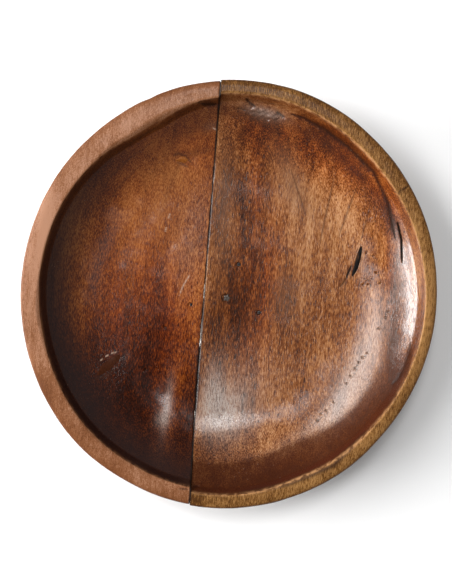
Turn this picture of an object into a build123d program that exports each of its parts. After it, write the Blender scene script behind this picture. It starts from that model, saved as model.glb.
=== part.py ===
from build123d import *
import os
from math import cos, radians, sin, tan

# A shallow carved wooden bowl. Two boards are glued edge to edge, then turned and carved.
# +Z is up, the bowl stands on z = 0, and the grain and the glued seam run along Y.
# All lengths are in millimetres and all angles in degrees.

# Wood shrinks across its grain and hardly along it. So each half is still round about its own
# axis, and the two axes have moved past each other, which leaves the rim narrower across the seam.
OUTER_RADIUS = 150.0
SHRINKAGE = 4.4
HEIGHT = 52.0

# The rim, the carved inside and the floor. Slopes are measured from level.
LEFT_LIP = 12.8
RIGHT_LIP = 9.6
RIGHT_ABOVE = 0.3
ARRIS_RADIUS = 2.4
LIP_RADIUS = 1.0
FLOOR_THICKNESS = 16.0
FLOOR_TO_LIP = 55.0
FLOOR_SLOPE = 3.0
WALL_ARC_RADIUS = 77.0
WALL_SLOPE = 46.0

# The outside
FOOT_RADIUS = 68.0
RECESS_RADIUS = 50.0
RECESS_DEPTH = 1.0
BELLY_TOP = 40.0
BELLY_ARC_RADIUS = 42.0
BELLY_TOP_SLOPE = 80.0
BELLY_LOW_SLOPE = 12.0

# The glued seam leans a little from vertical, and its film lies below the wood all round.
SEAM_X = -16.0
SEAM_LEAN = 1.9
GLUE_THICKNESS = 0.4
GLUE_SUNK = 0.4

# Filled holes in the floor: the turning centre, and three screws round it
CENTRE_MARK = (-0.7, -3.0)
CENTRE_PLUG_RADIUS = 2.9
SCREW_CIRCLE_RADIUS = 25.8
SCREW_ANGLES = {"upper": 74.0, "right": -20.0, "left": 195.0}
SCREW_PLUG_RADIUS = 1.65
PLUG_DEPTH = 9.0

# Long thin inlays: (start, end, width, height of their underside)
KNOT = ((92.0, 41.0), (89.0, 19.3), 4.2, 12.0)
KNOT_STREAK = ((87.0, 27.0), (84.0, 18.2), 1.6, 14.0)
WALL_CRACK = ((115.0, 59.4), (121.0, 30.9), 1.5, 22.0)

# Hardened drops that stand on the surface: (start, end, width, height above the wood)
LACQUER_RUN = ((-91.0, -66.6), (-72.6, -47.7), 5.0, 0.9)
LACQUER_DRIP = ((-45.2, 96.1), (-33.2, 91.1), 3.4, 0.7)
GLUE_BEADS = {"upper": (6.4, -4.8), "middle": (-19.4, -40.0), "lower": (-85.2, -91.0)}
GLUE_BEAD_WIDTH = 1.5
GLUE_BEAD_HEIGHT = 0.35


def on_arc(centre, radius, slope):
    """The point of a bowl-shaped arc where its slope from level is the given angle."""
    angle = radians(slope)
    return centre[0] + radius * sin(angle), centre[1] - radius * cos(angle)


def bowl_arc(centre, radius, slope_a, slope_b):
    """The arc between two slopes of a circle that opens upward."""
    middle = (slope_a + slope_b) / 2
    return ThreePointArc(*[on_arc(centre, radius, slope) for slope in (slope_a, middle, slope_b)])


def inner_lines(lip_radius, top, floor):
    """The carved inside, from the bowl's axis up to the start of the lip's rounding."""
    floor_radius = lip_radius - FLOOR_TO_LIP
    floor_arc_radius = floor_radius / sin(radians(FLOOR_SLOPE))
    floor_centre = (0, floor + floor_arc_radius)
    foot_of_wall = on_arc(floor_centre, floor_arc_radius, FLOOR_SLOPE)
    wall_centre = (
        foot_of_wall[0] - WALL_ARC_RADIUS * sin(radians(FLOOR_SLOPE)),
        foot_of_wall[1] + WALL_ARC_RADIUS * cos(radians(FLOOR_SLOPE)),
    )
    wall_top = on_arc(wall_centre, WALL_ARC_RADIUS, WALL_SLOPE)
    return [
        bowl_arc(floor_centre, floor_arc_radius, 0, FLOOR_SLOPE),
        bowl_arc(wall_centre, WALL_ARC_RADIUS, FLOOR_SLOPE, WALL_SLOPE),
        Line(wall_top, (lip_radius, top - LIP_RADIUS)),
    ]


def rim_lines(lip_radius, outer, top):
    """The rounded lip, the flat rim and the rounded outer arris."""
    corner = 1 - cos(radians(45))
    lip_mid = (lip_radius + LIP_RADIUS * corner, top - LIP_RADIUS * corner)
    arris_mid = (outer - ARRIS_RADIUS * corner, top - ARRIS_RADIUS * corner)
    return [
        ThreePointArc((lip_radius, top - LIP_RADIUS), lip_mid, (lip_radius + LIP_RADIUS, top)),
        Line((lip_radius + LIP_RADIUS, top), (outer - ARRIS_RADIUS, top)),
        ThreePointArc((outer - ARRIS_RADIUS, top), arris_mid, (outer, top - ARRIS_RADIUS)),
    ]


def outer_lines(outer, top, base):
    """The outside, from below the arris down to the foot, then the recess under the foot."""
    below_arris = top - ARRIS_RADIUS
    belly_top = (outer - (below_arris - BELLY_TOP) / tan(radians(BELLY_TOP_SLOPE)), BELLY_TOP)
    belly_centre = (
        belly_top[0] - BELLY_ARC_RADIUS * sin(radians(BELLY_TOP_SLOPE)),
        belly_top[1] + BELLY_ARC_RADIUS * cos(radians(BELLY_TOP_SLOPE)),
    )
    belly_low = on_arc(belly_centre, BELLY_ARC_RADIUS, BELLY_LOW_SLOPE)
    down = (-cos(radians(BELLY_LOW_SLOPE)), -sin(radians(BELLY_LOW_SLOPE)))
    recess_top = base + RECESS_DEPTH
    recess_edge = RECESS_RADIUS + RECESS_DEPTH
    return [
        Line((outer, below_arris), belly_top),
        bowl_arc(belly_centre, BELLY_ARC_RADIUS, BELLY_TOP_SLOPE, BELLY_LOW_SLOPE),
        TangentArc(belly_low, (FOOT_RADIUS, base), tangent=down),
        Line((FOOT_RADIUS, base), (recess_edge, base)),
        Line((recess_edge, base), (RECESS_RADIUS, recess_top)),
        Line((RECESS_RADIUS, recess_top), (0, recess_top)),
    ]


def bowl_blank(axis_x, lip, above=0.0, sunk=0.0):
    """The whole bowl turned about one half's axis; sunk takes that much off every face."""
    outer = OUTER_RADIUS - sunk
    lip_radius = OUTER_RADIUS - lip + sunk
    top = HEIGHT - RIGHT_ABOVE + above - sunk
    floor = FLOOR_THICKNESS - sunk
    lines = inner_lines(lip_radius, top, floor)
    lines += rim_lines(lip_radius, outer, top)
    lines += outer_lines(outer, top, max(sunk, 0))
    lines.append(Line(lines[-1] @ 1, (0, floor)))
    section = make_face(Plane.XZ * Curve(lines))
    return Pos(axis_x, 0, 0) * revolve(section, Axis.Z, 360)


def seam_plane(offset):
    """The seam's mid plane moved along its normal, which points to the right half."""
    lean = radians(SEAM_LEAN)
    normal = (cos(lean), 0, -sin(lean))
    return Plane(origin=(SEAM_X, 0, HEIGHT), x_dir=(0, 1, 0), z_dir=normal).offset(offset)


def seam_x(z):
    """Where the leaning seam passes at height z."""
    return SEAM_X + (z - HEIGHT) * tan(radians(SEAM_LEAN))


def sliver(start, end, width):
    """A flat almond between two points, made of two arcs."""
    a, b = Vector(*start), Vector(*end)
    along = (b - a).normalized()
    across = Vector(-along.Y, along.X) * (width / 2)
    middle = (a + b) / 2
    return make_face([ThreePointArc(a, middle + across, b), ThreePointArc(b, middle - across, a)])


def upright(outline, base):
    """A tall prism over a flat outline, from height base to well above the rim."""
    return extrude(Pos(0, 0, base) * outline, HEIGHT, dir=(0, 0, 1))


def drop(start, end, width, raised, wood):
    """A hardened drop between two points, from the wood up to the raised blank's floor."""
    piece = upright(sliver(start, end, width), FLOOR_THICKNESS - 1) & raised
    for solid in wood:
        piece = piece - solid
    return piece


left_blank = bowl_blank(SHRINKAGE, LEFT_LIP)
right_blank = bowl_blank(-SHRINKAGE, RIGHT_LIP, RIGHT_ABOVE)
film_blank = bowl_blank(SHRINKAGE, LEFT_LIP, sunk=GLUE_SUNK)
left_face = seam_plane(-GLUE_THICKNESS / 2)
right_face = seam_plane(GLUE_THICKNESS / 2)

left_half = split(left_blank, left_face, Keep.BOTTOM)
right_half = split(right_blank, right_face, Keep.TOP)
glue_line = split(split(film_blank, left_face, Keep.TOP), right_face, Keep.BOTTOM)

pieces = {}

# Plugs in the centre mark and in the three screw holes
plug_base = FLOOR_THICKNESS - PLUG_DEPTH
centre_tool = upright(Pos(*CENTRE_MARK) * Circle(CENTRE_PLUG_RADIUS), plug_base)
pieces["centre_plug"] = right_half & centre_tool
right_half = right_half - centre_tool
for name, angle in SCREW_ANGLES.items():
    x = CENTRE_MARK[0] + SCREW_CIRCLE_RADIUS * cos(radians(angle))
    y = CENTRE_MARK[1] + SCREW_CIRCLE_RADIUS * sin(radians(angle))
    screw_tool = upright(Pos(x, y) * Circle(SCREW_PLUG_RADIUS), plug_base)
    if x < seam_x(FLOOR_THICKNESS):
        pieces[f"screw_plug_{name}"] = left_half & screw_tool
        left_half = left_half - screw_tool
    else:
        pieces[f"screw_plug_{name}"] = right_half & screw_tool
        right_half = right_half - screw_tool

# The black knot, the streak beside it and the filled crack in the wall
for name, shape in {"knot": KNOT, "knot_streak": KNOT_STREAK, "wall_crack_fill": WALL_CRACK}.items():
    start, end, width, base = shape
    inlay_tool = upright(sliver(start, end, width), base)
    pieces[name] = right_half & inlay_tool
    right_half = right_half - inlay_tool

# Hardened lacquer and glue that stand on the carved surface
for name, shape in {"lacquer_run": LACQUER_RUN, "lacquer_drip": LACQUER_DRIP}.items():
    start, end, width, height = shape
    raised = bowl_blank(SHRINKAGE, LEFT_LIP, sunk=-height)
    pieces[name] = drop(start, end, width, raised, [left_half])
bead_blank = bowl_blank(SHRINKAGE, LEFT_LIP, sunk=-GLUE_BEAD_HEIGHT)
bead_x = seam_x(FLOOR_THICKNESS)
for name, (y_start, y_end) in GLUE_BEADS.items():
    start, end = (bead_x, y_start), (bead_x, y_end)
    wood = [left_half, right_half, glue_line]
    pieces[f"glue_bead_{name}"] = drop(start, end, GLUE_BEAD_WIDTH, bead_blank, wood)

pieces["left_half"] = left_half
pieces["right_half"] = right_half
pieces["glue_line"] = glue_line

# The origin is under the middle of the box that holds all the pieces.
whole = Compound(children=[s for piece in pieces.values() for s in piece.solids()]).bounding_box()
to_origin = Pos(-whole.center().X, -whole.center().Y, -whole.min.Z)
print("box", whole.size, "moved by", to_origin.position)

os.makedirs("parts", exist_ok=True)
for name, piece in pieces.items():
    solids = (to_origin * piece).solids()
    body = solids[0] if len(solids) == 1 else Compound(solids)
    export_step(body, f"parts/{name}.step")
    print(name, len(solids), round(sum(s.volume for s in solids), 2))
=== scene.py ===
import math

import bmesh
import bpy
import numpy as np
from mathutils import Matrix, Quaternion, Vector
from mathutils.bvhtree import BVHTree


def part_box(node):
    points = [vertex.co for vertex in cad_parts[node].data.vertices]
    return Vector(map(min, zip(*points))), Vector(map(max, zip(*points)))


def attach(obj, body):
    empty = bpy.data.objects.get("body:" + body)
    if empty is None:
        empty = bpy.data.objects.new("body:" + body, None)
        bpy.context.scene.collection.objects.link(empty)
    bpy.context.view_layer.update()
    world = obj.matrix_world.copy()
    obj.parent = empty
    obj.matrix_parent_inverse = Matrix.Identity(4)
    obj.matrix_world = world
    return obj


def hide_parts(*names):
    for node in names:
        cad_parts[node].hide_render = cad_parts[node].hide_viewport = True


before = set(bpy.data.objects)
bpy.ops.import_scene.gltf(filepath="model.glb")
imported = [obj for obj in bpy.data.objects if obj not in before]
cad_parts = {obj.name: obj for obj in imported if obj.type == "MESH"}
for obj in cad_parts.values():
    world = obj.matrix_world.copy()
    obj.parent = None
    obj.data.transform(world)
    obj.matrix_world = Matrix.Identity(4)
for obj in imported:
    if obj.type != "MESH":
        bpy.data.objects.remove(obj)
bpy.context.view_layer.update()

# Geometry below is in millimetres, in the row's frame, and becomes metres when a mesh is made.
# Angles are in degrees, anticlockwise from +X seen from above.
MM = 0.001


def node_box(node):
    """A CAD node's lowest and highest corner, in millimetres."""
    return [np.array(corner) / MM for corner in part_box(node)]


film_low, film_high = node_box("glue_line")
right_high = node_box("right_half")[1]

# The rim's oval, a little inside the CAD's, then how far each half lies inside and below it
HEIGHT = right_high[2]
LONG_RADIUS = right_high[1] - 0.15
SHORT_RADIUS = right_high[0] - 0.35
LONG_AXIS_ANGLE = 79.0
RIM_INSET = {"left": 0.9, "right": 0.28}
RIM_BELOW = {"left": 0.55, "right": 0.25}
ARRIS = 2.2
CLEAR_OF_TOP = 0.02

# The seam, and how far its glue film lies below the wood
SEAM_GAP = 0.4
SEAM_X = film_high[0] - SEAM_GAP / 2
SEAM_LEAN = (film_high[0] - film_low[0] - SEAM_GAP) / (film_high[2] - film_low[2])
FILM_SUNK = 0.55
# Extra rows of mesh beside the seam, for its worn edge, which ends at the last row
SEAM_ROWS = (0.35, 0.9)

# The inside and the outside, as in the CAD model
FLOOR = 16.0
FLOOR_TO_LIP = 55.0
FLOOR_SLOPE = 3.0
WALL_RADIUS = 77.0
WALL_SLOPE = 46.0
BELLY_TOP = 40.0
BELLY_RADIUS = 42.0
BELLY_SLOPES = (80.0, 12.0)
FOOT_RADIUS = 68.0
RECESS_RADIUS = 50.0
RECESS = 1.0

# The mesh: columns round the whole rim, and the step between rings on each surface
COLUMNS = 840
FLOOR_STEP = 0.8
RIM_STEP = 0.7
OUTSIDE_STEP = 2.2

# Rim width at angles round the bowl, measured square to the outline: (angle, width)
RIM_WIDTH = {
    "left": [
        (88, 11.2), (96, 11.6), (104, 13), (111, 16.2), (117, 18), (126, 18.3), (135, 15.6), (148, 14.1),
        (160, 13), (180, 12.7), (196, 13.4), (234, 12.7), (261, 12), (275, 11.7),
    ],
    "right": [
        (4, 8.2), (23, 9.8), (41, 11.2), (54, 11.2), (66, 10.5), (84, 9.8), (110, 9.8), (255, 9.4),
        (278, 9.5), (290, 10.3), (296, 10.8), (309, 9.8), (321, 9), (334, 8.4), (354, 7.9),
    ],
}
# Width of the bevel that the knife left on the inner lip: a base width, then (angle, spread, extra)
LIP_BEVEL = {
    "left": (0.8, [(117, 9, 3.6), (131, 6, 1.6), (190, 8, 1.8), (232, 14, 0.5)]),
    "right": (1.1, [(52, 14, 0.6), (303, 12, 0.8)]),
}
# How far the bevel drops for its width
BEVEL_FALL = 0.62


def around(angles, pairs):
    """A smooth closed curve through (angle, value) pairs."""
    fine = np.arange(-180.0, 540.0, 0.5)
    at = [a + turn for turn in (-360, 0, 360) for a, _ in pairs]
    values = [v for _ in range(3) for _, v in pairs]
    curve = np.interp(fine, at, values)
    window = np.hanning(17)
    curve = np.convolve(curve, window / window.sum(), mode="same")
    return np.interp(np.mod(angles, 360.0), fine, curve)


def hump(x, centre, spread):
    """A smooth hump of height 1."""
    return np.exp(-(((x - centre) / spread) ** 2))


def hump_round(angles, centre, spread):
    """A hump over an angle that closes on itself."""
    away = np.mod(angles - centre + 180.0, 360.0) - 180.0
    return np.exp(-((away / spread) ** 2))


def smooth(low, high, x):
    """0 below low, 1 above high, and a smooth step between."""
    t = np.clip((x - low) / (high - low), 0.0, 1.0)
    return t * t * (3.0 - 2.0 * t)


def ripples(points, wavelength, seed, stretch=(1.0, 1.0, 1.0), waves=14):
    """Smooth seeded noise of about -1 to 1, made of sine waves; stretch lengthens it along an axis."""
    rng = np.random.default_rng(seed)
    total = np.zeros(len(points))
    for _ in range(waves):
        direction = rng.normal(size=3)
        direction /= np.linalg.norm(direction)
        length = wavelength * rng.uniform(0.7, 1.5)
        along = (points * (direction / np.array(stretch))).sum(axis=1)
        total += np.sin(along * 2 * math.pi / length + rng.uniform(0, 2 * math.pi))
    return total / math.sqrt(waves)


def stroke_distance(points, path):
    """Distance in plan from each point to a path, and how far along the path it is, 0 to 1."""
    flat = points[:, :2]
    best = np.full(len(flat), 1e9)
    along = np.zeros(len(flat))
    knots = np.array(path, float)
    lengths = np.linalg.norm(np.diff(knots, axis=0), axis=1)
    total = lengths.sum()
    done = 0.0
    for a, b, length in zip(knots[:-1], knots[1:], lengths):
        t = np.clip(((flat - a) @ (b - a)) / (length * length), 0.0, 1.0)
        distance = np.linalg.norm(flat - (a + t[:, None] * (b - a)), axis=1)
        nearer = distance < best
        best[nearer] = distance[nearer]
        along[nearer] = (done + t[nearer] * length) / total
        done += length
    return best, along


def stroke(points, path, width, taper=True):
    """A soft mark along a path, 1 on its line and 0 away from it, thinner towards its ends."""
    distance, along = stroke_distance(points, path)
    half = width / 2
    if taper:
        half = half * np.sqrt(np.clip(4 * along * (1 - along), 0.04, 1.0))
    return np.exp(-((distance / half) ** 2))


# ---- The bowl's outline and rings


def outline(angles, side):
    """Radius of the rim's outer edge."""
    turned = np.radians(angles - LONG_AXIS_ANGLE)
    across = np.hypot(SHORT_RADIUS * np.cos(turned), LONG_RADIUS * np.sin(turned))
    oval = LONG_RADIUS * SHORT_RADIUS / across
    wobble = 0.16 * np.sin(np.radians(5 * angles + 40)) + 0.12 * np.sin(np.radians(9 * angles + 200))
    flats = 0.35 * hump_round(angles, 322, 5) + 0.3 * hump_round(angles, 244, 7)
    if side == "left":
        flats += 0.4 * hump_round(angles, 116, 1.8)
    return oval - RIM_INSET[side] + wobble - flats


def rim_top(angles, side):
    """Height of the rim's middle."""
    wave = 0.12 * np.sin(np.radians(3 * angles + 70)) + 0.1 * np.sin(np.radians(7 * angles))
    return HEIGHT - RIM_BELOW[side] + wave


def bevel(angles, side):
    """Width of the inner lip's bevel."""
    base, humps = LIP_BEVEL[side]
    width = np.full(len(angles), base)
    for centre, spread, extra in humps:
        width += extra * hump_round(angles, centre, spread)
    return width


def arc_steps(centre, radius, slope_a, slope_b, step):
    """Points of an arc that opens upward, from one slope to another, about a step apart."""
    length = radius * abs(math.radians(slope_b - slope_a))
    slopes = np.radians(np.linspace(slope_a, slope_b, max(2, round(length / step)) + 1))
    return np.column_stack([centre[0] + radius * np.sin(slopes), centre[1] - radius * np.cos(slopes)])


def line_steps(start, end, step):
    """Points of a straight run, about a step apart."""
    count = max(1, round(math.dist(start, end) / step))
    return np.linspace(start, end, count + 1)


def inside_profile(lip_radius, lip_height):
    """The carved inside as (radius, height), from the middle of the floor up to the lip."""
    floor_radius = lip_radius - FLOOR_TO_LIP
    arc_radius = floor_radius / math.sin(math.radians(FLOOR_SLOPE))
    floor_run = arc_steps((0.0, FLOOR + arc_radius), arc_radius, 0.0, FLOOR_SLOPE, FLOOR_STEP)
    foot = floor_run[-1]
    slope = math.radians(FLOOR_SLOPE)
    centre = (foot[0] - WALL_RADIUS * math.sin(slope), foot[1] + WALL_RADIUS * math.cos(slope))
    wall_run = arc_steps(centre, WALL_RADIUS, FLOOR_SLOPE, WALL_SLOPE, FLOOR_STEP)
    lip_run = line_steps(wall_run[-1], (lip_radius, lip_height), RIM_STEP)
    return np.vstack([floor_run, wall_run[1:], lip_run[1:]])


def outside_profile(outer, start_height):
    """The outside as (radius, height), from below the arris down to the middle of the foot."""
    high, low = BELLY_SLOPES
    belly_top = (outer - (start_height - BELLY_TOP) / math.tan(math.radians(high)), BELLY_TOP)
    angle = math.radians(high)
    centre = (belly_top[0] - BELLY_RADIUS * math.sin(angle), BELLY_TOP + BELLY_RADIUS * math.cos(angle))
    side_run = line_steps((outer, start_height), belly_top, OUTSIDE_STEP)
    belly_run = arc_steps(centre, BELLY_RADIUS, high, low, OUTSIDE_STEP)
    end = belly_run[-1]
    t = np.linspace(0.0, 1.0, 20)[1:, None]
    tangent = math.tan(math.radians(low))
    bend = np.array([(end[0] + FOOT_RADIUS) / 2, end[1] - tangent * (end[0] - FOOT_RADIUS) / 2])
    under_run = (1 - t) ** 2 * end + 2 * t * (1 - t) * bend + t * t * np.array([FOOT_RADIUS, 0.0])
    foot_run = line_steps((FOOT_RADIUS, 0.0), (RECESS_RADIUS + RECESS, 0.0), 3.0)
    step_run = line_steps((RECESS_RADIUS + RECESS, 0.0), (RECESS_RADIUS, RECESS), 1.0)
    recess_run = line_steps((RECESS_RADIUS, RECESS), (0.5, RECESS), 3.0)
    return np.vstack([side_run[1:], belly_run[1:], under_run, foot_run[1:], step_run[1:], recess_run[1:]])


def bowl_rings(side):
    """Every ring of the whole bowl as (radii, heights, zone); zone 0 is inside, 1 rim, 2 outside."""
    angles = np.arange(COLUMNS) * 360.0 / COLUMNS
    outer = outline(angles, side)
    width = around(angles, RIM_WIDTH[side])
    bevel_width = bevel(angles, side)
    top = rim_top(angles, side)
    lip = outer - width
    drop = BEVEL_FALL * bevel_width
    lip_height = top - drop
    mean_lip = float(lip.mean())
    mean_height = float(lip_height.mean())
    rings = []
    for radius, height in inside_profile(mean_lip, mean_height):
        near = smooth(0.35, 1.0, radius / mean_lip)
        at_lip = math.exp(-(mean_lip - radius) / 3.0)
        rings.append((radius + (lip - mean_lip) * near, height + (lip_height - mean_height) * at_lip, 0.0))
    for t in (0.12, 0.3, 0.5, 0.75, 1.0):
        rings.append((lip + bevel_width * t, top - drop * (1 - t) ** 1.7, 1.0))
    flat_start = lip + bevel_width
    flat_end = outer - ARRIS
    count = round(float((flat_end - flat_start).mean()) / RIM_STEP)
    for t in np.arange(1, count + 1) / count:
        across = flat_start + (flat_end - flat_start) * t
        rings.append((across, top - 0.35 * np.maximum(t - 0.55, 0) ** 2 / 0.2, 1.0))
    edge = top - 0.35
    for slope in np.radians([18, 36, 54, 72, 86]):
        rings.append((flat_end + ARRIS * math.sin(slope), edge - ARRIS * (1 - math.cos(slope)), 1.0))
    start = float((edge - ARRIS).mean())
    mean_outer = float(outer.mean())
    rings.append((outer, edge - ARRIS, 2.0))
    for radius, height in outside_profile(mean_outer, start):
        near = smooth(0.3, 1.0, radius / mean_outer)
        at_rim = math.exp((height - start) / 6.0)
        rings.append((radius + (outer - mean_outer) * near, height + (edge - ARRIS - start) * at_rim, 2.0))
    return angles, rings


def columns_step(radius):
    """How many columns one face spans at a radius, so that faces near the middle aren't slivers."""
    return 8 if radius < 16 else 4 if radius < 34 else 2 if radius < 72 else 1


def bowl_shell(side):
    """The whole bowl's surface as a bmesh with a float layer that holds the zone."""
    angles, rings = bowl_rings(side)
    cos, sin = np.cos(np.radians(angles)), np.sin(np.radians(angles))
    bm = bmesh.new()
    zone_layer = bm.verts.layers.float.new("zone")
    rows = []
    for radii, heights, zone in rings:
        mean = float(np.mean(radii))
        if mean < 0.3:
            vert = bm.verts.new((0.0, 0.0, float(np.mean(heights))))
            vert[zone_layer] = zone
            rows.append((0, [vert]))
            continue
        step = columns_step(mean)
        heights = np.broadcast_to(heights, (COLUMNS,))
        row = []
        for i in range(0, COLUMNS, step):
            vert = bm.verts.new((radii[i] * cos[i], radii[i] * sin[i], heights[i]))
            vert[zone_layer] = zone
            row.append(vert)
        rows.append((step, row))
    for (step_a, row_a), (step_b, row_b) in zip(rows[:-1], rows[1:]):
        join_rows(bm, step_a, row_a, step_b, row_b)
    hub = rows[-1][1]
    bm.faces.new(list(reversed(hub)))
    return bm


def join_rows(bm, step_a, row_a, step_b, row_b):
    """Faces between two rings, where one may have twice the columns of the other."""
    if step_a == 0:
        for i in range(len(row_b)):
            bm.faces.new((row_a[0], row_b[i], row_b[(i + 1) % len(row_b)]))
        return
    span = max(step_a, step_b)
    for start in range(0, COLUMNS, span):
        columns_a = range(start // step_a, (start + span) // step_a + 1)
        columns_b = range(start // step_b, (start + span) // step_b + 1)
        a = [row_a[k % len(row_a)] for k in columns_a]
        b = [row_b[k % len(row_b)] for k in columns_b]
        bm.faces.new((a[0], *b, *reversed(a[1:])))


# ---- Carving: what stands above or below the smooth bowl, in mm along the surface

PLUG_NODES = ["centre_plug", "screw_plug_upper", "screw_plug_right", "screw_plug_left"]
INLAY_NODES = {"left": [], "right": ["knot", "knot_streak", "wall_crack_fill"]}
BEAD_NODES = ["glue_bead_upper", "glue_bead_middle", "glue_bead_lower"]


def falling(box):
    """The line from a box's upper left to its lower right corner, seen from above."""
    return [(box[0][0], box[1][1]), (box[1][0], box[0][1])]


def rising(box):
    """The line from a box's lower left to its upper right corner, seen from above."""
    return [(box[0][0], box[0][1]), (box[1][0], box[1][1])]


def middle(box):
    return (box[0] + box[1]) / 2


KNOT_LINE = rising(node_box("knot"))
STREAK_LINE = rising(node_box("knot_streak"))
CRACK_LINE = falling(node_box("wall_crack_fill"))
CRACK_LINE.insert(1, (118.9, 47))
KNOT_SHAPE = [KNOT_LINE[1], (91.6, 33), (90.4, 26), KNOT_LINE[0]]
KNOT_TAIL = [(84.6, 18.6), (82.4, 14.4), (79.6, 10.4)]

# Each inlay's line and width
INLAY_SHAPES = {
    "knot": (KNOT_SHAPE, 2.9),
    "knot_streak": (STREAK_LINE, 1.2),
    "wall_crack_fill": (CRACK_LINE, 0.9),
}
POCKET_DEPTH = 0.9
PIT_DEPTH = 0.6

# The groove below the upper right lip, the gouge in the right wall and the crease at its lower end
WALL_GROOVE = [
    (35.1, 129.5), (43.9, 127.3), (58.8, 120.5), (76.2, 109.5), (95.5, 92.9), (107.8, 72.1), (115, 48),
]
GOUGE = [(130.5, -24), (129.8, -32), (127.8, -40.8), (124.3, -49), (119.5, -55)]
LOWER_CREASE = [(18.6, -137), (50.3, -128.9), (81.6, -113.5), (103, -88)]
# Cuts and dents: (path, width, depth)
CUTS = {
    "left": [
        ([(-24.4, -137.4), (-18, -137.2)], 1.5, 0.8),
        ([(-30, 131.2), (-17, 132)], 3.4, 0.9),
        ([(-28.1, 12.6), (-35, -4)], 0.9, 0.12),
    ],
    "right": [
        (WALL_GROOVE, 3.4, 0.75),
        (GOUGE, 2.6, 0.45),
        ([(2.5, 137.2), (9.4, 132.8)], 2.8, 0.9),
        ([(-4.6, 130.4), (-1, 131.2), (2.6, 130.2)], 2, 0.6),
        ([(24.5, 130.4), (30.3, 127.4)], 3, 0.9),
        (LOWER_CREASE, 4.5, 0.5),
        ([(-10.2, -136), (-15.5, -136.8)], 1.4, 0.8),
    ],
}
# Raised or pressed places at the top of the right wall: (path, width, height)
RIGHT_LUMPS = [
    ([(7.5, 131.5), (17.8, 129.4), (26, 126.8)], 5, 0.55),
    ([(31, 126.4), (33.4, 125.6)], 2.6, 0.5),
    ([(12, 127), (20, 125)], 4, -0.35),
]
# Broad shallow hollows that the adze left in the floor: (path, width, depth)
SCALLOPS = {
    "left": [
        ([(-92, 8), (-66, 54), (-46, 90)], 22, 0.55),
        ([(-66, -10), (-44, 36), (-26, 80)], 18, 0.45),
        ([(-46, 26), (-34, 44), (-24, 52)], 10, 0.32),
        ([(-100, 44), (-74, 84)], 16, 0.5),
        ([(-42, 88), (-34, 97), (-20, 101)], 9, 0.5),
        ([(-26, -58), (-26, -96)], 12, 0.3),
    ],
    "right": [
        ([(8, -112), (44, -104), (76, -82)], 15, 0.2),
        ([(20, 100), (58, 86), (84, 56)], 20, 0.2),
    ],
}


def carving(points, zone, side):
    """Height of the hand work above the smooth bowl at each point, in mm."""
    radius = np.hypot(points[:, 0], points[:, 1])
    angles = np.degrees(np.arctan2(points[:, 1], points[:, 0]))
    to_lip = outline(angles, side) - around(angles, RIM_WIDTH[side]) - radius
    clear_of_lip = smooth(0.5, 5.0, to_lip)
    wall = smooth(44.0, 26.0, to_lip) * clear_of_lip
    facet_places = np.column_stack([angles * 2.3, to_lip, np.zeros(len(radius))])
    carved = clear_of_lip * 0.10 * ripples(points, 34.0, 3)
    carved += clear_of_lip * (0.05 if side == "left" else 0.035) * ripples(points, 9.0, 4)
    carved += wall * 0.16 * ripples(facet_places, 24.0, 5, (1.0, 1.6, 1.0))
    for path, width, depth in SCALLOPS[side]:
        distance, along = stroke_distance(points, path)
        ends = smooth(0.0, 0.3, along) * smooth(1.0, 0.7, along)
        carved -= clear_of_lip * depth * hump(distance, 0.0, width / 2) * ends
    for path, width, depth in CUTS[side]:
        carved -= depth * stroke(points, path, width)
    if side == "right":
        for path, width, height in RIGHT_LUMPS:
            carved += height * stroke(points, path, width)
        torn = hump(points[:, 0], 16.0, 16.0) * hump(points[:, 1], 129.0, 6.0)
        carved += torn * 0.45 * ripples(points, 4.0, 8)
        carved -= 0.12 * stroke(points, KNOT_TAIL, 1.2)
        carved += 0.5 * hump(to_lip, 5.2, 3.0) * smooth(95, 70, angles) * smooth(-5, 20, angles)
    for node in INLAY_NODES[side] + PLUG_NODES:
        carved -= pocket(points, node)
    carved -= PIT_DEPTH * pit_mask(points, side)
    rim = 0.05 * ripples(points, 11.0, 6)
    outside = 0.12 * ripples(points, 30.0, 7, (1.0, 1.0, 0.7)) * smooth(2.0, 12.0, points[:, 2])
    return np.where(zone < 0.5, carved, np.where(zone < 1.5, rim, outside))


def pocket(points, node):
    """Depth of the hole that a plug or an inlay sits in."""
    if node in PLUG_NODES:
        low, high = node_box(node)
        centre = middle((low, high))
        radius = (high[0] - low[0]) / 2
        distance = np.hypot(points[:, 0] - centre[0], points[:, 1] - centre[1])
        return POCKET_DEPTH * smooth(radius + 0.25, radius - 0.25, distance)
    path, width = INLAY_SHAPES[node]
    distance, along = stroke_distance(points, path)
    half = width / 2 * np.sqrt(np.clip(4 * along * (1 - along), 0.0, 1.0))
    return POCKET_DEPTH * smooth(half + 0.3, half - 0.2, distance)


def seam_shift(points):
    """How far the leaning, slightly wavy seam has moved from a plane at each point."""
    lean = -SEAM_LEAN * (HEIGHT - points[:, 2])
    y = points[:, 1]
    wave = -0.55 * hump(y, -70.0, 55.0) + 0.35 * hump(y, 92.0, 40.0)
    wave += 0.1 * np.sin(y / 7.0) * hump(y, -60, 60)
    return (lean + wave) * np.exp(-np.abs(points[:, 0] - SEAM_X) / 35.0)


def positions(bm):
    return np.array([v.co for v in bm.verts], float).reshape(-1, 3)


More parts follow.
